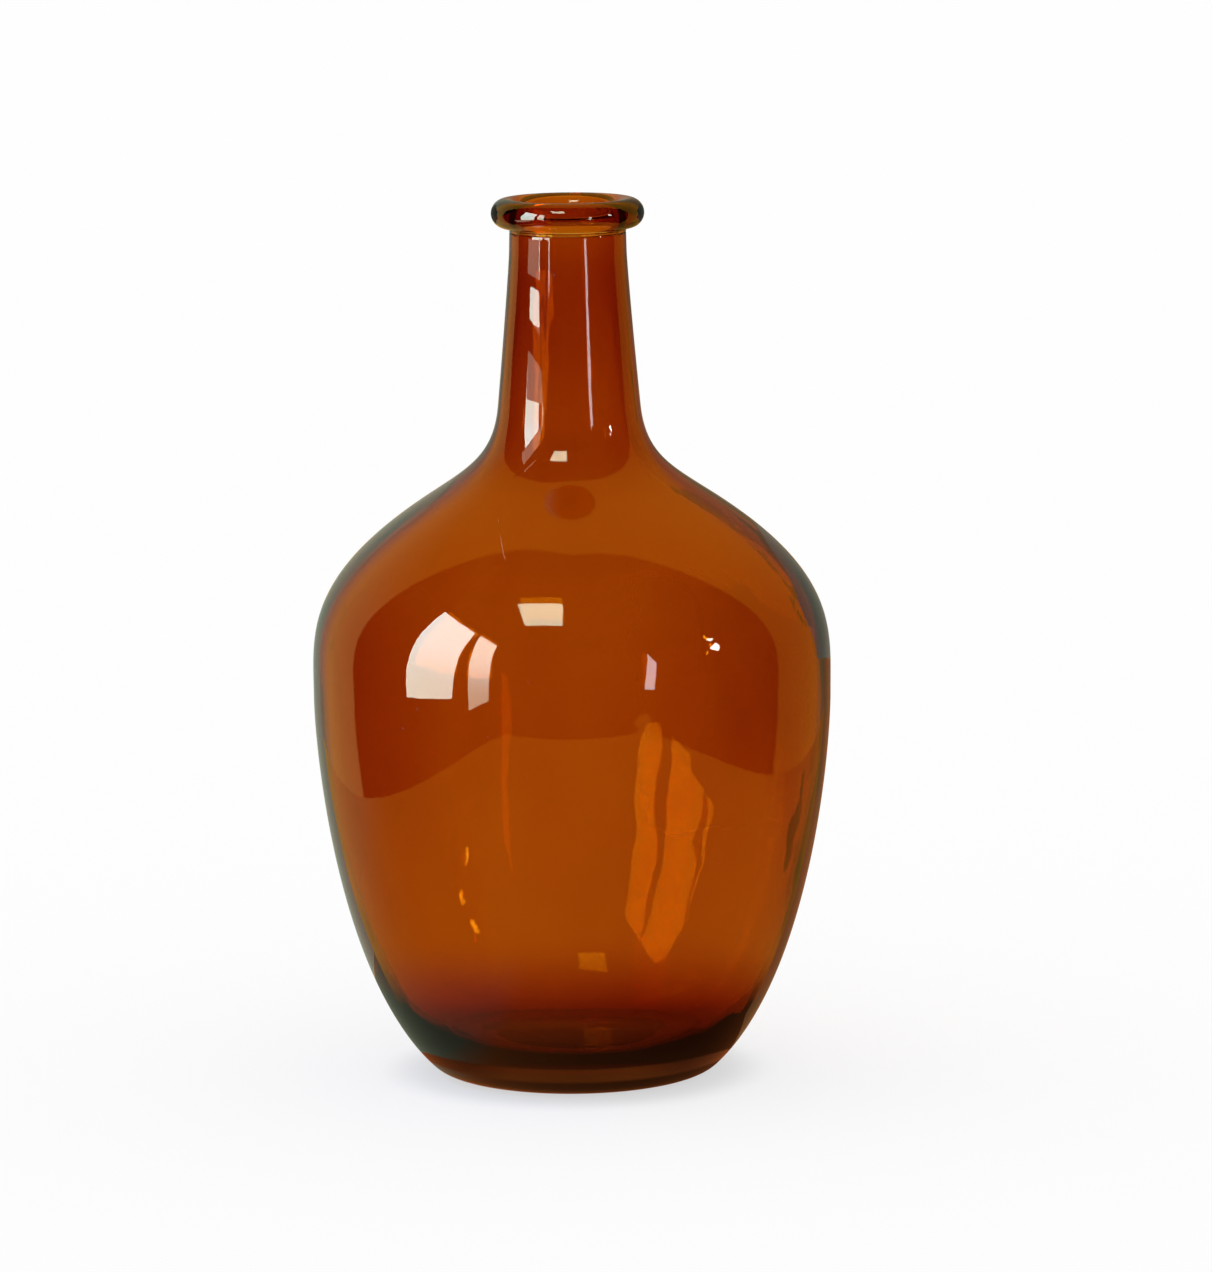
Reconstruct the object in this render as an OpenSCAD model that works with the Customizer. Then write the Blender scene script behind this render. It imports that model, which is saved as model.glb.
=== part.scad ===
// Amber glass bottle vase: a blown body with a pushed-up base, and a round lip ring fused to the neck.
// The origin is the centre of the resting plane, +Z is up the axis of the vase, and lengths are in millimetres.
// A station of a profile is [radius, height, slope]. The slope is the direction of travel in degrees:
// 0 runs outwards, 90 runs straight up and 180 runs back to the axis.

/* [Overall] */
// Height from the resting plane to the top of the lip
height = 300; // [296:1:306]

/* [Lip ring] */
// Outer diameter of the lip
lip_d = 52; // [50:0.5:56]
// Thickness of the round bead that makes the lip
bead_d = 10; // [9:0.25:11]
// Diameter of the mouth
mouth_d = 32.5; // [32.2:0.1:34.5]
// Height of the ring, from its seat on the neck to the top of the lip
ring_h = 11.5; // [10.5:0.25:14]

/* [Neck] */
// Diameter of the neck under the lip ring
neck_top_d = 39.5; // [38.5:0.25:41]
// Diameter at the foot of the neck
neck_foot_d = 48.8; // [46:0.2:52]
// Height of the foot of the neck
neck_foot_z = 229; // [225:1:235]
// Lean of the neck's side at its foot, in degrees from upright
neck_lean = 6; // [4:0.5:8]
// Depth of the straight mouth bore inside the neck, below the ring's seat
neck_bore_depth = 10; // [6:1:16]

/* [Body] */
// Diameter where the shoulder is steepest
shoulder_d = 103; // [98:1:108]
// Height where the shoulder is steepest
shoulder_z = 197; // [194:1:200]
// Fall of the shoulder there, in degrees from level
shoulder_fall = 34; // [30:1:38]
// Greatest diameter of the body
belly_d = 176.5; // [172:0.5:182]
// Height of the greatest diameter
belly_z = 131.5; // [126:0.5:138]

/* [Base] */
// Diameter at the heel's corner
heel_d = 99; // [96:1:102]
// Height of the heel's corner
heel_z = 3.4; // [3:0.1:5]
// Slope of the side where it leaves the heel, in degrees from level
heel_slope = 43; // [38:1:48]
// Outer diameter of the ring that the vase stands on
foot_d = 77; // [74:1:80]
// Width of the ring that the vase stands on
foot_w = 5.5; // [4:0.5:8]
// Rise of the underside at the middle of the base
punt_rise = 4; // [2:0.5:5]

/* [Glass] */
// Wall of the neck at its foot
neck_wall = 3.6; // [3:0.1:4.6]
// Wall of the shoulder
shoulder_wall = 2.8; // [2.5:0.1:4.5]
// Wall at the greatest diameter
belly_wall = 3.4; // [2.5:0.1:4.5]
// Wall of the lower side, just above the thick base
flank_wall = 3.2; // [2.5:0.1:4.5]
// Height of the inner floor at its lowest, near the side
floor_z = 10.5; // [9:0.5:14]
// Radius where the inner floor is lowest
floor_r = 38; // [34:1:40]
// Height of the inner floor at the middle
floor_rise_z = 12.5; // [11:0.5:16]

/* [Hidden] */
amber = [0.58, 0.25, 0.03, 0.8];
// Segments round the axis, and straight segments along one stretch of a profile
round_segments = 128;
stretch_segments = 20;
// Room added to a cut so that it passes clean through
overcut = 1;

seat_z = height - ring_h;
bore_r = mouth_d / 2;
bead_r = bead_d / 2;
bead_centre_r = lip_d / 2 - bead_r;

// Stations of the outer profile, from the standing ring up to the seat of the lip ring
foot_edge = [foot_d / 2, 0, 0];
heel = [heel_d / 2, heel_z, heel_slope];
belly = [belly_d / 2, belly_z, 90];
shoulder = [shoulder_d / 2, shoulder_z, 180 - shoulder_fall];
neck_foot = [neck_foot_d / 2, neck_foot_z, 90 + neck_lean];
neck_top = [neck_top_d / 2, seat_z, 90];

// Where the lower side's wall is set, as a share of the way along the curve from the heel to the belly
flank_share = 0.27;

// Stations of the inner profile, from the straight bore in the neck down to the middle of the floor
bore_end = [bore_r, seat_z - neck_bore_depth, 90];
floor_low = [floor_r, floor_z, 0];
floor_middle = [0, floor_rise_z, 0];

// The underside, from its middle out to the inner edge of the standing ring
punt_middle = [0, punt_rise, 0];
punt_edge = [foot_d / 2 - foot_w, 0, -2 * atan(punt_rise / (foot_d / 2 - foot_w))];

// Every stretch's pull says how far its curve holds the slope of each end, as shares of the stretch's length
even_pull = [0.33, 0.33];
heel_pull = [0.36, 0.33];
flank_pull = [0.32, 0.16];
upper_body_pull = [0.27, 0.64];
shoulder_pull = [0.44, 0.42];
neck_pull = [0.06, 0.15];
inner_neck_pull = [0.12, 0.2];
inner_corner_pull = [0.3, 0.45];
inner_flank_pull = [0.385, 0.16];

function place(station) = [station[0], station[1]];
function heading(station) = [cos(station[2]), sin(station[2])];

// A station moved off the outer profile to the inner one, square to the wall
function inset(station, wall) =
    [station[0] - wall * sin(station[2]), station[1] + wall * cos(station[2]), station[2]];

function bezier(a, b, c, d, t) =
    pow(1 - t, 3) * a + 3 * pow(1 - t, 2) * t * b + 3 * (1 - t) * t * t * c + pow(t, 3) * d;

// The four control points of the smooth stretch between two stations
function controls(from, to, pull) =
    let (
        a = place(from),
        d = place(to),
        chord = norm(d - a)
    )
    [a, a + pull[0] * chord * heading(from), d - pull[1] * chord * heading(to), d];

// Points of one smooth stretch between two stations, without the last point
function stretch(from, to, pull) =
    let (p = controls(from, to, pull))
    [for (i = [0 : stretch_segments - 1]) bezier(p[0], p[1], p[2], p[3], i / stretch_segments)];

// The station at a share t of the way along a stretch
function station_at(from, to, pull, t) =
    let (
        p = controls(from, to, pull),
        at = bezier(p[0], p[1], p[2], p[3], t),
        along = pow(1 - t, 2) * (p[1] - p[0]) + 2 * (1 - t) * t * (p[2] - p[1]) + t * t * (p[3] - p[2])
    )
    [at[0], at[1], atan2(along[1], along[0])];

// Points of a whole profile through its stations, with the last point
function profile(stations, pulls) = concat(
    [for (k = [0 : len(pulls) - 1]) each stretch(stations[k], stations[k + 1], pulls[k])],
    [place(stations[len(pulls)])]
);

function reversed(list) = [for (i = [len(list) - 1 : -1 : 0]) list[i]];

module vase_body() {
    flank = station_at(heel, belly, flank_pull, flank_share);
    underside = profile([punt_middle, punt_edge], [even_pull]);
    outside = profile(
        [foot_edge, heel, belly, shoulder, neck_foot, neck_top],
        [heel_pull, flank_pull, upper_body_pull, shoulder_pull, neck_pull]
    );
    inside = profile(
        [
            floor_middle, floor_low, inset(flank, flank_wall), inset(belly, belly_wall),
            inset(shoulder, shoulder_wall), inset(neck_foot, neck_wall), bore_end
        ],
        [even_pull, inner_corner_pull, inner_flank_pull, upper_body_pull, shoulder_pull, inner_neck_pull]
    );
    color(amber)
    rotate_extrude($fn = round_segments)
    polygon(concat(underside, outside, [[bore_r, seat_z]], reversed(inside)));
}

module lip_ring() {
    color(amber)
    translate([0, 0, seat_z])
    rotate_extrude($fn = round_segments)
    difference() {
        union() {
            translate([bead_centre_r, ring_h - bead_r])
            circle(r = bead_r, $fn = round_segments / 2);
            square([neck_top_d / 2, ring_h - bead_r]);
        }
        translate([-overcut, -overcut])
        square([bore_r + overcut, ring_h + 2 * overcut]);
    }
}

vase_body();
lip_ring();
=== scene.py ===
"""The looks of an amber glass bottle vase: two closed glass pieces, a pale floor and a soft studio."""

import bpy
import bmesh
import math
from mathutils import Matrix, Vector, noise


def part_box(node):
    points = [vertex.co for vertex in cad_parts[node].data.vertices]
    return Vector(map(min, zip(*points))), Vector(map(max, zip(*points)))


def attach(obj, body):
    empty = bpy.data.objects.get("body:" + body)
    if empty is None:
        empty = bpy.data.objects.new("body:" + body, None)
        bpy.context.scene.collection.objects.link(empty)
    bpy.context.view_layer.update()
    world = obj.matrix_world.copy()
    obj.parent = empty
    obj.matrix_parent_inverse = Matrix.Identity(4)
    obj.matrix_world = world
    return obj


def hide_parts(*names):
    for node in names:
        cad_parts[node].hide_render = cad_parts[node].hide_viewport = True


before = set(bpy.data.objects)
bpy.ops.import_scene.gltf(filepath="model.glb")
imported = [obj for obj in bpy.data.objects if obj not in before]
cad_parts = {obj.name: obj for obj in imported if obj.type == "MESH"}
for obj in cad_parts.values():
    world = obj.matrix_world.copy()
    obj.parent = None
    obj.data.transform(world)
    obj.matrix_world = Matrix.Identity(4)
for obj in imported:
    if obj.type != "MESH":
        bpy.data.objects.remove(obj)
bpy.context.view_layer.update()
MM = 0.001
TAU = 2 * math.pi

# ---------------------------------------------------------------- camera
CAMERA_AT = Vector((0.0, -2.2957, 0.5089))
LENS = 192.93
SENSOR_WIDTH = 36
AIM_RIGHT = 0.0117      # the vase stands a little left of the picture's middle
AIM_UP = 0.1502
ROLL = math.radians(-0.523)

camera = bpy.data.objects.new("camera", bpy.data.cameras.new("camera"))
bpy.context.scene.collection.objects.link(camera)
camera.data.lens = LENS
camera.data.sensor_width = SENSOR_WIDTH
camera.data.clip_start = 0.05
camera.data.clip_end = 60
forward = (Vector((AIM_RIGHT, 0, AIM_UP)) - CAMERA_AT).normalized()
camera.matrix_world = (
    Matrix.Translation(CAMERA_AT)
    @ forward.to_track_quat("-Z", "Y").to_matrix().to_4x4()
    @ Matrix.Rotation(ROLL, 4, "Z")
)
bpy.context.scene.camera = camera

# ---------------------------------------------------------------- sizes in mm
# They are read from the frame where it has them.
BOX_MARGIN = 0.02               # keeps the glass inside the CAD's own box
body_low, body_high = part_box("vase_body")
ring_low, ring_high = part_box("lip_ring")
BELLY_R = (body_high[0] - body_low[0]) / 2 / MM - BOX_MARGIN
SEAT_Z = body_high[2] / MM
TOP_Z = ring_high[2] / MM
LIP_R = (ring_high[0] - ring_low[0]) / 2 / MM - BOX_MARGIN
BORE_R = 16.25
BORE_DEPTH = 10
NECK_TOP_R = 19.75
BEAD_R = 5.0
BEAD_TOP_GAP = 0.01             # from the top of the bead to the top of the CAD's box
SEAT_GAP = 0.005                # half of the gap between the body and the lip ring
EDGE = 0.3                      # rounding of the two pieces' edges at the seat
FILLET = 0.9                    # rounding of the hollow between the collar and the bead

# stations are (radius, height, slope in degrees), as in the part's own profile
BELLY_Z = 131.5
FOOT_R = 38.5
OUTSIDE = [
    (FOOT_R, 0, 0), (49.5, 3.4, 43), (BELLY_R, BELLY_Z, 90), (51.5, 197, 146), (24.4, 229, 96),
    (NECK_TOP_R, SEAT_Z, 90),
]
OUTSIDE_PULLS = [(0.36, 0.33), (0.32, 0.16), (0.27, 0.64), (0.44, 0.42), (0.06, 0.15)]
OUTSIDE_ROWS = [9, 70, 48, 32, 30]
FLOOR = [(0, 12.5, 0), (38, 10.5, 0)]
WALLS = [3.4, 2.8, 3.6]         # at the belly, the shoulder and the foot of the neck
FLANK_WALL = 3.2
FLANK_SHARE = 0.27              # where the flank's wall is set, along the curve from the heel to the belly
INSIDE_PULLS = [(0.33, 0.33), (0.3, 0.45), (0.385, 0.16), (0.27, 0.64), (0.44, 0.42), (0.12, 0.2)]
INSIDE_ROWS = [12, 40, 40, 34, 22, 22]
PUNT_EDGE_R = 33.0
PUNT_RISE = 4.0
PUNT_PULLS = [(0.33, 0.33)]
PUNT_ROWS = [10]
SEGMENTS = 256
SHARP_ANGLE = math.radians(32)


def heading(slope):
    a = math.radians(slope)
    return Vector((math.cos(a), math.sin(a)))


def inset(station, wall):
    """A station moved off the outside to the inside, square to the wall."""
    a = math.radians(station[2])
    return (station[0] - wall * math.sin(a), station[1] + wall * math.cos(a), station[2])


def controls(start, end, pull):
    """The four control points of the cubic between two stations, held to both slopes."""
    a, d = Vector(start[:2]), Vector(end[:2])
    chord = (d - a).length
    return a, a + pull[0] * chord * heading(start[2]), d - pull[1] * chord * heading(end[2]), d


def profile(stations, pulls, rows):
    """Points through the stations."""
    points = []
    for k, pull in enumerate(pulls):
        a, b, c, d = controls(stations[k], stations[k + 1], pull)
        for i in range(rows[k]):
            t = i / rows[k]
            s = 1 - t
            points.append(s ** 3 * a + 3 * s * s * t * b + 3 * s * t * t * c + t ** 3 * d)
    points.append(Vector(stations[-1][:2]))
    return points


def station_at(start, end, pull, t):
    """The station at a share t of the way along a stretch."""
    a, b, c, d = controls(start, end, pull)
    s = 1 - t
    at = s ** 3 * a + 3 * s * s * t * b + 3 * s * t * t * c + t ** 3 * d
    along = s * s * (b - a) + 2 * s * t * (c - b) + t * t * (d - c)
    return at.x, at.y, math.degrees(math.atan2(along.y, along.x))


def ease(x, low, high):
    """0 below low, 1 above high, smooth between."""
    t = min(max((x - low) / (high - low), 0.0), 1.0)
    return t * t * (3 - 2 * t)


def ripple(angle, height, per_turn, wavelength, seed):
    """Smooth noise round the axis, from -1 to 1: per_turn sets how fast it changes round the axis."""
    across, along = math.cos(angle) * per_turn, math.sin(angle) * per_turn
    return noise.noise(Vector((across + seed, along, height / wavelength)))


def revolve(rings, shift):
    """A closed mesh turned round Z. A ring is (radius, height, tag), and shift(tag, radius, height, angle)
    gives the point that it moves to. Rings of radius 0 are single points."""
    bm = bmesh.new()
    rows = []
    for radius, height, tag in rings:
        if radius == 0:
            rows.append([bm.verts.new((0, 0, height * MM))])
            continue
        row = []
        for i in range(SEGMENTS):
            angle = TAU * i / SEGMENTS
            r, z = shift(tag, radius, height, angle)
            row.append(bm.verts.new((r * math.cos(angle) * MM, r * math.sin(angle) * MM, z * MM)))
        rows.append(row)
    closed = rings[0][0] != 0
    pairs = list(zip(rows, rows[1:])) + ([(rows[-1], rows[0])] if closed else [])
    for one, two in pairs:
        for i in range(SEGMENTS):
            j = (i + 1) % SEGMENTS
            if len(one) == 1:
                bm.faces.new((one[0], two[j], two[i]))
            elif len(two) == 1:
                bm.faces.new((one[i], one[j], two[0]))
            else:
                bm.faces.new((one[i], one[j], two[j], two[i]))
    bmesh.ops.recalc_face_normals(bm, faces=bm.faces[:])
    return bm


def finish_mesh(name, bm):
    mesh = bpy.data.meshes.new(name)
    bm.to_mesh(mesh)
    bm.free()
    for polygon in mesh.polygons:
        polygon.use_smooth = True
    mesh.set_sharp_from_angle(angle=SHARP_ANGLE)
    obj = bpy.data.objects.new(name, mesh)
    bpy.context.scene.collection.objects.link(obj)
    return obj


# ---------------------------------------------------------------- nodes
def node(tree, kind, **inputs):
    made = tree.nodes.new(kind)
    for key, value in inputs.items():
        made.inputs[key.replace("_", " ")].default_value = value
    return made


def feed(tree, socket, value):
    """Sets a socket to a plain value, or links another socket to it."""
    if isinstance(value, (int, float, tuple)):
        socket.default_value = value
    else:
        tree.links.new(value, socket)


def math_node(tree, operation, a, b=None):
    made = tree.nodes.new("ShaderNodeMath")
    made.operation = operation
    feed(tree, made.inputs[0], a)
    if b is not None:
        feed(tree, made.inputs[1], b)
    return made.outputs[0]


def mix_colour(tree, factor, a, b):
    """Colour a where the factor is 0 and colour b where it is 1."""
    made = tree.nodes.new("ShaderNodeMix")
    made.data_type = "RGBA"
    for slot_index, value in ((0, factor), (6, a), (7, b)):
        feed(tree, made.inputs[slot_index], (*value, 1) if isinstance(value, tuple) else value)
    return made.outputs[2]


def step(tree, value, low, high):
    """0 below low, 1 above high, smooth between."""
    made = tree.nodes.new("ShaderNodeMapRange")
    made.interpolation_type = "SMOOTHSTEP"
    tree.links.new(value, made.inputs[0])
    made.inputs[1].default_value = low
    made.inputs[2].default_value = high
    return made.outputs[0]


def object_place(tree):
    """The object's own coordinates: the whole place, then its x, y and z."""
    place = tree.nodes.new("ShaderNodeTexCoord").outputs["Object"]
    split = tree.nodes.new("ShaderNodeSeparateXYZ")
    tree.links.new(place, split.inputs[0])
    return place, *split.outputs


def distance_from_axis(tree, place):
    """How far a place on a level card is from the vase's axis."""
    distance = tree.nodes.new("ShaderNodeVectorMath")
    distance.operation = "LENGTH"
    tree.links.new(place, distance.inputs[0])
    return distance.outputs["Value"]


# ---------------------------------------------------------------- glass
IOR = 1.52
AMBER = (0.879, 0.655, 0.034)   # what the mass lets through
BUMP_DISTANCE = 0.000012
SPECK_SIZE = 0.035
SPECK_ROUGHNESS = 0.25
SMEAR_ROUGHNESS = 0.03


def amber_glass(name, grain, seed, density):
    """Clear amber glass, coloured in its mass. Its surface has fine ripples, faint wipe marks and specks."""
    material = bpy.data.materials.new(name)
    material.use_nodes = True
    tree = material.node_tree
    tree.nodes.clear()
    out = tree.nodes.new("ShaderNodeOutputMaterial")
    glass = node(tree, "ShaderNodeBsdfPrincipled", Base_Color=(1, 1, 1, 1), IOR=IOR)
    glass.inputs["Transmission Weight"].default_value = 1.0
    mass = node(tree, "ShaderNodeVolumeAbsorption", Color=(*AMBER, 1), Density=density)
    tree.links.new(glass.outputs[0], out.inputs["Surface"])
    tree.links.new(mass.outputs[0], out.inputs["Volume"])

    place = tree.nodes.new("ShaderNodeTexCoord")
    stretch = node(tree, "ShaderNodeMapping", Location=(seed, seed * 0.7, 0), Scale=(1, 1, 0.55))
    tree.links.new(place.outputs["Object"], stretch.inputs["Vector"])
    waves = node(tree, "ShaderNodeTexNoise", Scale=grain, Detail=1.5, Roughness=0.45)
    tree.links.new(stretch.outputs[0], waves.inputs["Vector"])
    fine = node(tree, "ShaderNodeTexNoise", Scale=grain * 4.5, Detail=2.0, Roughness=0.5)
    tree.links.new(place.outputs["Object"], fine.inputs["Vector"])
    height = math_node(tree, "ADD", waves.outputs[0], math_node(tree, "MULTIPLY", fine.outputs[0], 0.12))
    bump = node(tree, "ShaderNodeBump", Strength=1.0, Distance=BUMP_DISTANCE)
    tree.links.new(height, bump.inputs["Height"])
    tree.links.new(bump.outputs[0], glass.inputs["Normal"])

    wipe = node(tree, "ShaderNodeMapping", Scale=(1, 1, 0.12), Rotation=(0.3, 0.2, 0))
    tree.links.new(place.outputs["Object"], wipe.inputs["Vector"])
    marks = node(tree, "ShaderNodeTexNoise", Scale=grain * 0.55, Detail=4.0, Roughness=0.6)
    tree.links.new(wipe.outputs[0], marks.inputs["Vector"])
    specks = node(tree, "ShaderNodeTexVoronoi", Scale=grain * 0.5)
    tree.links.new(place.outputs["Object"], specks.inputs["Vector"])
    inside_speck = math_node(tree, "LESS_THAN", specks.outputs["Distance"], SPECK_SIZE)
    speck = math_node(tree, "MULTIPLY", inside_speck, SPECK_ROUGHNESS)
    smear = math_node(tree, "MULTIPLY", math_node(tree, "POWER", marks.outputs[0], 3.0), SMEAR_ROUGHNESS)
    tree.links.new(math_node(tree, "ADD", smear, speck), glass.inputs["Roughness"])
    return material


# ---------------------------------------------------------------- the body
LAP_BELOW = 16                  # the inner floor's laps lie under this height


def bump_ring(radius, centre, amount):
    """A low round ridge, or a groove where the amount is negative, in the inner floor."""
    return amount * math.exp(-((radius - centre) / 1.1) ** 2)


def body_shift(tag, radius, height, angle):
    """Blown glass isn't quite even: the outside sinks a little in places, and the inside wanders more."""
    if tag == "flat":
        return radius, height
    if tag == "outside":
        free = ease(height, 3.0, 22.0) * (1 - ease(height, SEAT_Z - 9, SEAT_Z - 1))
        slow, quick = ripple(angle, height, 1.3, 90, 3), ripple(angle, height, 4.5, 38, 11)
        sink = 0.10 * (1 - slow) + 0.035 * (1 - quick)
        return radius - sink * free, height
    wander = (0.34 * ripple(angle, height, 1.5, 70, 21) + 0.16 * ripple(angle, height, 5.0, 26, 31)
              + 0.05 * ripple(angle, height, 11.0, 11, 41))
    share = ease(height, 11.0, 30.0) * (1 - ease(height, SEAT_Z - 30, SEAT_Z - 12))
    lap = bump_ring(radius, 42.0, 0.45) + bump_ring(radius, 45.0, -0.65)
    return radius + wander * share, height + (lap if height < LAP_BELOW else 0)


def body_rings():
    """The body's whole section, from the middle of the underside round to the middle of the inner floor."""
    flank = station_at(OUTSIDE[1], OUTSIDE[2], OUTSIDE_PULLS[1], FLANK_SHARE)
    walls = [inset(station, wall) for station, wall in zip(OUTSIDE[2:], WALLS)]
    inner = FLOOR + [inset(flank, FLANK_WALL)] + walls + [(BORE_R, SEAT_Z - BORE_DEPTH, 90)]
    punt_slope = -2 * math.degrees(math.atan(PUNT_RISE / PUNT_EDGE_R))
    underside = profile([(0, PUNT_RISE, 0), (PUNT_EDGE_R, 0, punt_slope)], PUNT_PULLS, PUNT_ROWS)
    outside = profile(OUTSIDE, OUTSIDE_PULLS, OUTSIDE_ROWS)
    inside = profile(inner, INSIDE_PULLS, INSIDE_ROWS)
    rings = [(p.x, p.y, "flat") for p in underside]
    rings += [((PUNT_EDGE_R + FOOT_R) / 2, 0.0, "flat")]
    rings += [(p.x, p.y, "outside") for p in outside[:-1]]
    rings += [
        (NECK_TOP_R, SEAT_Z - EDGE, "flat"),
        (NECK_TOP_R - 0.3 * EDGE, SEAT_Z - 0.3 * EDGE, "flat"),
        (NECK_TOP_R - EDGE, SEAT_Z - SEAT_GAP, "flat"),
        (BORE_R, SEAT_Z - SEAT_GAP, "flat"),
        (BORE_R, SEAT_Z - BORE_DEPTH / 2, "flat"),
    ]
    rings += [(p.x, p.y, "inside") for p in reversed(inside)]
    return rings


body = finish_mesh("vase_body_glass", revolve(body_rings(), body_shift))
body.data.materials.append(amber_glass("body_glass_look", grain=260.0, seed=0.3, density=1450.0))

# ---------------------------------------------------------------- the lip ring
FILLET_ROWS = 8
BEAD_ROWS = 64
BORE_ROWS = 9
COLLAR_KEPT = 0.5               # how far over the hollow's lowest point the ring stays true


def ring_rings():
    """The lip: a round bead over a short collar, with a small hollow where the two meet."""
    centre_r, centre_z = LIP_R - BEAD_R, TOP_Z - BEAD_TOP_GAP - BEAD_R
    flat_half = math.sqrt(max(BEAD_R ** 2 - (centre_r - BORE_R) ** 2, 0))
    join = math.asin((NECK_TOP_R + FILLET - centre_r) / (BEAD_R + FILLET))
    low_z = centre_z - (BEAD_R + FILLET) * math.cos(join)
    rings = [
        (BORE_R, SEAT_Z + SEAT_GAP),
        (NECK_TOP_R - EDGE, SEAT_Z + SEAT_GAP),
        (NECK_TOP_R - 0.3 * EDGE, SEAT_Z + 0.3 * EDGE),
        (NECK_TOP_R, SEAT_Z + EDGE),
    ]
    start = -(math.pi / 2 - join)
    for i in range(FILLET_ROWS + 1):
        a = math.pi + start * i / FILLET_ROWS
        rings.append((NECK_TOP_R + FILLET + FILLET * math.cos(a), low_z + FILLET * math.sin(a)))
    finish = math.pi - math.asin(flat_half / BEAD_R)
    for i in range(1, BEAD_ROWS + 1):
        a = start + (finish - start) * i / BEAD_ROWS
        rings.append((centre_r + BEAD_R * math.cos(a), centre_z + BEAD_R * math.sin(a)))
    bore_top = centre_z + flat_half
    for i in range(1, BORE_ROWS):
        rings.append((BORE_R, bore_top + (SEAT_Z + SEAT_GAP - bore_top) * i / BORE_ROWS))
    return [(r, z, "bead" if z > low_z + COLLAR_KEPT and r > BORE_R else "flat") for r, z in rings]


def ring_shift(tag, radius, height, angle):
    """The bead sinks a little here and there, and the bore and the seat stay true."""
    if tag == "flat":
        return radius, height
    sink = 0.05 * (1 - ripple(angle, height, 2.2, 40, 51))
    share = ease(radius, 17.0, 20.0)
    return radius - sink * share, height - sink * 0.5 * ease(height, TOP_Z - 5, TOP_Z - 1)


ring = finish_mesh("lip_ring_glass", revolve(ring_rings(), ring_shift))
ring.data.materials.append(amber_glass("lip_glass_look", grain=330.0, seed=0.9, density=800.0))

for piece, cad_node, slot_name in ((body, "vase_body", "body_glass"), (ring, "lip_ring", "lip_glass")):
    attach(piece, "root")
    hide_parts(cad_node)


# ---------------------------------------------------------------- the studio, in metres
FLOOR_R = 14
FLOOR_CORNERS = 96
FLOOR_Z = -0.0001
TABLE_Z = 0.0002
WINDOW_X = -0.8
SHADE_Y = 0.12
LIP_FLAG_Y = 0.004
FLAG_Y = 0.007
FLAG_GAP = 0.6                  # mm, from the glass to a flag's near edge


def emitter(name, colour, strength=1.0):
    material = bpy.data.materials.new(name)
    material.use_nodes = True
    tree = material.node_tree
    tree.nodes.clear()
    out = tree.nodes.new("ShaderNodeOutputMaterial")
    light = node(tree, "ShaderNodeEmission", Color=(*colour, 1), Strength=strength)
    tree.links.new(light.outputs[0], out.inputs[0])
    return material


def card(name, polygons, material, **seen_by):
    """A flat studio card from lists of corners. It is never seen directly and casts no shadow: reflections
    see it unless glossy is False, and rays that have passed through glass unless transmission is False."""
    mesh = bpy.data.meshes.new(name)
    points, faces = [], []
    for corners in polygons:
        faces.append(range(len(points), len(points) + len(corners)))
        points += corners
    mesh.from_pydata(points, [], [list(f) for f in faces])
    mesh.materials.append(material)
    obj = bpy.data.objects.new(name, mesh)
    bpy.context.scene.collection.objects.link(obj)
    obj.visible_camera = False
    obj.visible_diffuse = False
    obj.visible_shadow = False
    obj.visible_volume_scatter = False
    for key, value in seen_by.items():
        setattr(obj, "visible_" + key, value)


def level(z, corners):
    return [(x, y, z) for x, y in corners]


def facing_x(x, corners):
    return [(x, y, z) for y, z in corners]


def facing_y(y, corners):
    return [(x, y, z) for x, z in corners]


def lay_floor():
    """A pale matt floor that glows evenly, with painted shadow near the vase: it glows less under the vase
    and hardly in a disc under the pushed-up base, where it is near black.
    """
    angles = [TAU * i / FLOOR_CORNERS for i in range(FLOOR_CORNERS)]
    points = [(FLOOR_R * math.cos(angle), FLOOR_R * math.sin(angle), FLOOR_Z) for angle in angles]
    mesh = bpy.data.meshes.new("floor")
    mesh.from_pydata(points, [], [list(range(FLOOR_CORNERS))])
    floor = bpy.data.objects.new("floor", mesh)
    bpy.context.scene.collection.objects.link(floor)
    look = bpy.data.materials.new("floor_look")
    look.use_nodes = True
    tree = look.node_tree
    surface = tree.nodes["Principled BSDF"]
    surface.inputs["Roughness"].default_value = 0.9
    surface.inputs["Specular IOR Level"].default_value = 0.0
    surface.inputs["Emission Color"].default_value = (1, 1, 1, 1)
    place, _, _, _ = object_place(tree)
    from_axis = distance_from_axis(tree, place)
    # painted contact shadow: the glow and the grey fall almost to nothing inside the disc, and the glow is a
    # little weaker out to 70 mm from the axis
    past_painted_shadow_disc = step(tree, from_axis, 0.0275, 0.0290)
    past_painted_shade_ring = step(tree, from_axis, 0.050, 0.07)
    glow = math_node(tree, "ADD", math_node(tree, "MULTIPLY", past_painted_shadow_disc, 0.58),
                     math_node(tree, "MULTIPLY", past_painted_shade_ring, 0.13))
    tree.links.new(math_node(tree, "ADD", glow, 0.02), surface.inputs["Emission Strength"])
    grey_with_painted_shadow = mix_colour(tree, past_painted_shadow_disc, (0.02, 0.02, 0.02), (0.26, 0.26, 0.26))
    tree.links.new(grey_with_painted_shadow, surface.inputs["Base Color"])
    mesh.materials.append(look)
    floor.visible_glossy = False


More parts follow.
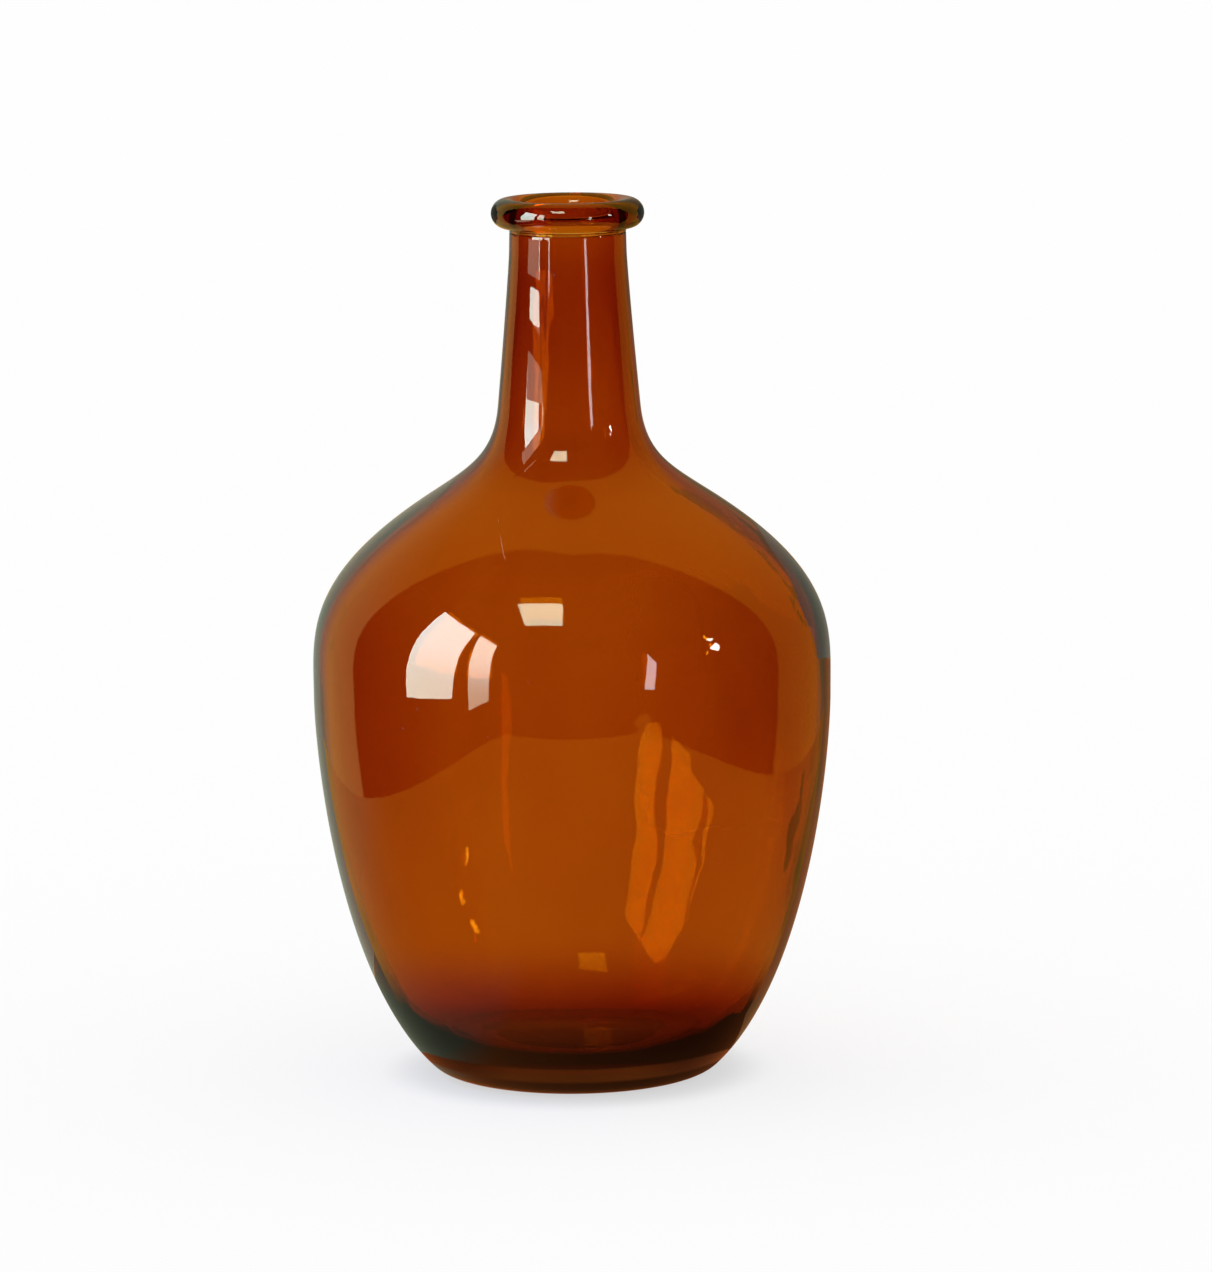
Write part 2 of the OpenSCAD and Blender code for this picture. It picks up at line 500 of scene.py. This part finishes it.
def table_painted_light_look():
    """A glowing table top, seen only in the glass's reflections: painted warm bounce light further off, and
    near the vase painted shade with a painted band of amber light, the colours that the glass mirrors low
    down.
    """
    look = emitter("table_top_painted_light_look", (1, 1, 1))
    tree = look.node_tree
    place, x, y, _ = object_place(tree)
    from_axis = distance_from_axis(tree, place)
    # painted bounce light: amber in front of the vase, paler on the left behind it and dimmer on the right
    # behind it
    behind = mix_colour(tree, step(tree, x, -0.02, 0.02), (0.85, 0.50, 0.14), (0.42, 0.20, 0.03))
    beyond = mix_colour(tree, step(tree, y, -0.06, 0.12), (1.1, 0.44, 0.03), behind)

    # painted shade of the vase on the table near it: greenish grey at the far left, dim amber left of the
    # middle, and darker to the right
    across = tree.nodes.new("ShaderNodeMapRange")
    tree.links.new(x, across.inputs[0])
    across.inputs[1].default_value = -0.055
    across.inputs[2].default_value = 0.055
    painted_shade_ramp = tree.nodes.new("ShaderNodeValToRGB")
    painted_shade_ramp.color_ramp.elements[0].color = (0.19, 0.21, 0.14, 1)
    painted_shade_ramp.color_ramp.elements[1].color = (0.13, 0.035, 0.01, 1)
    painted_shade_ramp.color_ramp.elements.new(0.17).color = (0.45, 0.13, 0.035, 1)
    tree.links.new(across.outputs[0], painted_shade_ramp.inputs[0])

    # painted amber light: a brighter band just outside the heel, duller towards its two ends
    within_band = math_node(tree, "SUBTRACT", 1, step(tree, from_axis, 0.0572, 0.0585))
    band = math_node(tree, "MULTIPLY", step(tree, from_axis, 0.0505, 0.0525), within_band)
    band_end = step(tree, math_node(tree, "ABSOLUTE", x), 0.018, 0.045)
    painted_light_band_colour = mix_colour(tree, band_end, (0.95, 0.22, 0.04), (0.36, 0.09, 0.025))
    beside = mix_colour(tree, band, painted_shade_ramp.outputs[0], painted_light_band_colour)
    colour = mix_colour(tree, step(tree, from_axis, 0.085, 0.15), beside, beyond)
    tree.links.new(colour, tree.nodes["Emission"].inputs[0])
    return look


def pane(name, corners, top, bottom, strength):
    """One pane of the window, whose colour changes from its foot to its head."""
    look = emitter(name + "_look", top, strength)
    tree = look.node_tree
    _, _, _, z = object_place(tree)
    low, high = min(c[1] for c in corners), max(c[1] for c in corners)
    rise = step(tree, z, low, low + 0.6 * (high - low))
    tree.links.new(mix_colour(tree, rise, bottom, top), tree.nodes["Emission"].inputs[0])
    card(name, [facing_x(WINDOW_X, corners)], look, transmission=False)


def floor_shade_look():
    """The floor seen through the glass, with painted shade: it falls off a little on the right, and is plain
    again further back.
    """
    look = emitter("floor_shade_look", (1, 1, 1))
    tree = look.node_tree
    _, x, y, _ = object_place(tree)
    painted_shade_fall = math_node(tree, "MULTIPLY", step(tree, x, 0.04, 0.13), step(tree, y, 0.45, 0.75))
    still_near = math_node(tree, "SUBTRACT", 1, step(tree, y, 1.20, 1.28))
    painted_shade_fall = math_node(tree, "MULTIPLY", painted_shade_fall, still_near)
    colour = mix_colour(tree, painted_shade_fall, (0.98, 0.98, 0.98), (0.82, 0.79, 0.74))
    tree.links.new(colour, tree.nodes["Emission"].inputs[0])
    return look


def beside_neck(corners, back=0.0):
    """A card beside the neck on the left, from its corners' y and z. It leans outwards with the shoulder's
    reflections, which pass it edge-on, so only the neck mirrors it. The back puts it further out."""
    return [(-0.038 - 0.364 * (z - 0.235) - back, y, z) for y, z in corners]


def flag(name, side, heights, colour):
    """A narrow upright card beside the vase, just behind its widest line, which follows its outline. The
    heights are pairs of a height and the card's width there, in mm. The side is -1 for left, 1 for right."""
    outline = profile(OUTSIDE, OUTSIDE_PULLS, OUTSIDE_ROWS)
    near, far = [], []
    for z, width in heights:
        edge = min(outline, key=lambda point: abs(point.y - z)).x + FLAG_GAP
        near.append((side * edge * MM, FLAG_Y, z * MM))
        far.append((side * (edge + width) * MM, FLAG_Y, z * MM))
    quads = [[near[i], far[i], far[i + 1], near[i + 1]] for i in range(len(near) - 1)]
    card(name, quads, emitter(name + "_look", colour))


lay_floor()

# what the glass mirrors of the room: a glowing table top with painted light and shade, and a window of two
# panes on the left
card("table_top", [level(TABLE_Z, [(-0.375, -0.715), (0.43, -0.715), (0.43, 3), (-0.375, 3)])], table_painted_light_look(),
     transmission=False)
pane("left_pane", [(-0.222, 0.03), (-0.625, 0.016), (-0.70, 0.88), (-0.222, 0.92)],
     (1.0, 1.22, 1.15), (0.9, 1.0, 0.8), 12.5)
pane("right_pane", [(-0.805, -0.05), (-1.117, -0.03), (-1.138, 0.875), (-0.79, 0.892)],
     (1.0, 1.1, 0.95), (0.55, 0.52, 0.36), 11.5)
card("panes_within", [
    facing_x(WINDOW_X, [(-0.222, 0.20), (-0.64, 0.17), (-0.72, 0.88), (-0.222, 0.92)]),
    facing_x(WINDOW_X, [(-0.775, 0.16), (-1.117, 0.20), (-1.138, 0.875), (-0.762, 0.892)]),
], emitter("panes_within_look", (1.0, 2.2, 6.0), 15), glossy=False)

# a small light overhead, a slit of light and two lamps on the right. The "within" cards are what rays that
# have entered the glass see in their place, and their colours allow for the amber that those rays pass.
skylight = [(-0.67, -0.81), (-0.108, -0.923), (-0.161, -1.719), (-0.78, -1.616)]
card("skylight", [level(2.0, skylight)], emitter("skylight_look", (0.85, 1.0, 0.7), 11), transmission=False)
card("skylight_within", [level(2.0, [(x, y + 0.12) for x, y in skylight])],
     emitter("skylight_within_look", (0.8, 1.9, 2.2), 13), glossy=False)
card("side_slit", [
    [(0.825, -1.238, 0.682), (0.93, -1.233, 0.487), (0.913, -1.29, 0.037), (0.812, -1.361, 0.06)],
], emitter("side_slit_look", (0.80, 0.84, 0.85), 9))
card("lamps", [
    [(1.304, -0.61, 0.772), (1.339, -0.539, 0.761), (1.355, -0.506, 0.754), (1.323, -0.576, 0.71)],
    [(1.358, -0.652, 0.596), (1.351, -0.516, 0.66), (1.417, -0.521, 0.577), (1.403, -0.557, 0.52)],
], emitter("lamps_look", (1.0, 0.95, 0.85), 30), transmission=False)
card("lamps_within", [
    [(1.32, -0.57, 0.81), (1.33, -0.54, 0.81), (1.33, -0.54, 0.69), (1.32, -0.57, 0.69)],
    [(1.37, -0.585, 0.62), (1.38, -0.55, 0.62), (1.38, -0.55, 0.56), (1.37, -0.585, 0.56)],
    [(1.37, -0.665, 0.48), (1.38, -0.64, 0.48), (1.38, -0.64, 0.44), (1.37, -0.665, 0.44)],
], emitter("lamps_within_look", (1.0, 3.0, 14.0), 55), glossy=False)

# seen through the glass: the floor behind the vase on the right, with painted shade and one dark strip on it
card("floor_shade", [level(0.0005, [(0.04, 0.45), (0.9, 0.45), (1.0, 1.3), (0.04, 1.3)])], floor_shade_look(),
     glossy=False)
card("floor_strip", [level(0.001, [(0.118, 0.30), (0.137, 0.30), (0.200, 0.56), (0.168, 0.56)])],
     emitter("floor_strip_look", (0.05, 0.05, 0.05)), glossy=False)

# painted shade: a dark shape on the right behind the shoulder, with a paler part at its top right, which
# makes the dark line inside the shoulder's edge
card("shoulder_shade", [
    facing_y(SHADE_Y, [(0.045, 0.193), (0.064, 0.187), (0.066, 0.2005), (0.045, 0.2005)]),
    facing_y(SHADE_Y, [(0.066, 0.186), (0.080, 0.176), (0.091, 0.160), (0.094, 0.150), (0.100, 0.138),
                       (0.140, 0.138), (0.140, 0.186)]),
], emitter("shoulder_shade_look", (0.10, 0.11, 0.09)), glossy=False)
card("shoulder_half_shade", [
    facing_y(SHADE_Y, [(0.064, 0.187), (0.066, 0.186), (0.140, 0.186), (0.140, 0.2005), (0.066, 0.2005)]),
], emitter("shoulder_half_shade_look", (0.30, 0.29, 0.24)), glossy=False)

# close to the neck on the left: bars, and paler veils that glow as painted highlights, which break up the
# window's reflection on the neck alone
card("neck_bars", [
    beside_neck([(-0.085, 0.232), (-0.052, 0.232), (-0.0465, 0.262), (-0.0475, 0.285), (-0.080, 0.285)]),
    beside_neck([(-0.050, 0.2716), (-0.012, 0.2730), (-0.012, 0.2765), (-0.050, 0.2752)]),
    beside_neck([(-0.056, 0.2445), (-0.012, 0.2540), (-0.012, 0.2650), (-0.056, 0.2555)]),
], emitter("neck_bars_look", (0.02, 0.02, 0.02)), transmission=False)
# painted highlight: glowing veils that put dim pale pieces of the window's reflection on the neck
card("neck_painted_highlights", [
    beside_neck([(-0.046, 0.2740), (-0.0195, 0.2740), (-0.0195, 0.2850), (-0.046, 0.2850)], back=0.0004),
    beside_neck([(-0.055, 0.2345), (-0.0255, 0.2345), (-0.0255, 0.2600), (-0.055, 0.2600)], back=0.0004),
], emitter("neck_painted_highlights_look", (0.95, 0.80, 0.58), 2.8), transmission=False)

# just behind the mouth: a dark card, edge-on to the camera, that only steep rays through the far lip meet,
# and a flag on each side of the lip
card("lip_shade", [
    [(-0.022, 0.0275, 0.2868), (0.022, 0.0275, 0.2868), (0.022, 0.035, 0.2861), (-0.022, 0.035, 0.2861)],
], emitter("lip_shade_look", (0.10, 0.035, 0.02)), glossy=False)
lip_flag = [(0.0267, 0.2885), (0.040, 0.2885), (0.040, 0.3005), (0.0267, 0.3005)]
card("lip_flags", [facing_y(LIP_FLAG_Y, [(side * x, z) for x, z in lip_flag]) for side in (-1, 1)],
     emitter("lip_flags_look", (0.10, 0.11, 0.09)))

# flags beside the body, which make the dark edges
flag("flag_left", -1, [
    (30, 25), (50, 20), (80, 17), (110, 14), (140, 12), (165, 15), (180, 18), (195, 21), (206, 21),
], (0.40, 0.45, 0.34))
flag("flag_left_low", -1, [(3, 36), (12, 32), (29.5, 25)], (0.20, 0.22, 0.15))
flag("flag_right", 1, [(141, 24), (165, 34), (176, 36), (189, 16)], (0.26, 0.25, 0.19))
flag("flag_right_low", 1, [
    (3, 30), (12, 26), (30, 20), (50, 16), (80, 14), (110, 13), (140.5, 13),
], (0.34, 0.14, 0.05))


# ---------------------------------------------------------------- surroundings
def mirrored_room(tree, x, y, z):
    """What the glass mirrors in every direction: warm behind a slanted line, and dark in front of it."""
    leftwards = math_node(tree, "MAXIMUM", math_node(tree, "MULTIPLY", x, -1), 0)
    left_share = math_node(tree, "MULTIPLY", leftwards, 0.40)
    right_share = math_node(tree, "MULTIPLY", math_node(tree, "MAXIMUM", x, 0), 0.21)
    beyond_line = math_node(tree, "SUBTRACT", y, math_node(tree, "ADD", left_share, right_share))
    behind = step(tree, beyond_line, 0.02, 0.05)
    sides = mix_colour(tree, step(tree, x, -0.4, 0.4), (1.15, 0.65, 0.17), (0.80, 0.32, 0.03))
    straight_back = mix_colour(tree, step(tree, x, -0.2, 0.2), (0.34, 0.36, 0.27), (0.24, 0.17, 0.09))
    round_back = mix_colour(tree, step(tree, y, 0.70, 0.88), sides, straight_back)
    back = mix_colour(tree, step(tree, z, 0.3, 0.8), round_back, (1.06, 0.44, 0.03))
    return mix_colour(tree, behind, (0.015, 0.012, 0.010), back)


def room_through_glass(tree, x, y, z):
    """What rays that have passed through the glass see: pale near level, and duller above and below."""
    near_level = math_node(tree, "SUBTRACT", 1, step(tree, math_node(tree, "ABSOLUTE", z), 0.25, 0.45))
    steep = mix_colour(tree, step(tree, y, -0.4, 0.4), (0.30, 0.28, 0.24), (0.85, 0.82, 0.75))
    return mix_colour(tree, near_level, steep, (0.92, 0.92, 0.92))


def light_studio():
    """Plain white for the camera and for what the floor receives, and the room's colours for the glass."""
    world = bpy.data.worlds.new("studio")
    bpy.context.scene.world = world
    world.use_nodes = True
    tree = world.node_tree
    tree.nodes.clear()
    out = tree.nodes.new("ShaderNodeOutputWorld")
    split = tree.nodes.new("ShaderNodeSeparateXYZ")
    tree.links.new(tree.nodes.new("ShaderNodeTexCoord").outputs["Generated"], split.inputs[0])
    mirrored = mirrored_room(tree, *split.outputs)
    passed = room_through_glass(tree, *split.outputs)

    rays = tree.nodes.new("ShaderNodeLightPath")
    plain = node(tree, "ShaderNodeBackground", Color=(1, 1, 1, 1), Strength=1.0)
    room = tree.nodes.new("ShaderNodeBackground")
    tree.links.new(mix_colour(tree, rays.outputs["Is Transmission Ray"], mirrored, passed), room.inputs[0])
    choose = tree.nodes.new("ShaderNodeMixShader")
    sees_plain = math_node(tree, "MAXIMUM", rays.outputs["Is Camera Ray"], rays.outputs["Diffuse Depth"])
    tree.links.new(sees_plain, choose.inputs[0])
    tree.links.new(room.outputs[0], choose.inputs[1])
    tree.links.new(plain.outputs[0], choose.inputs[2])
    tree.links.new(choose.outputs[0], out.inputs[0])
    world.cycles.sampling_method = "NONE"


light_studio()
bpy.context.scene.view_settings.view_transform = "Standard"
bpy.context.scene.view_settings.look = "None"
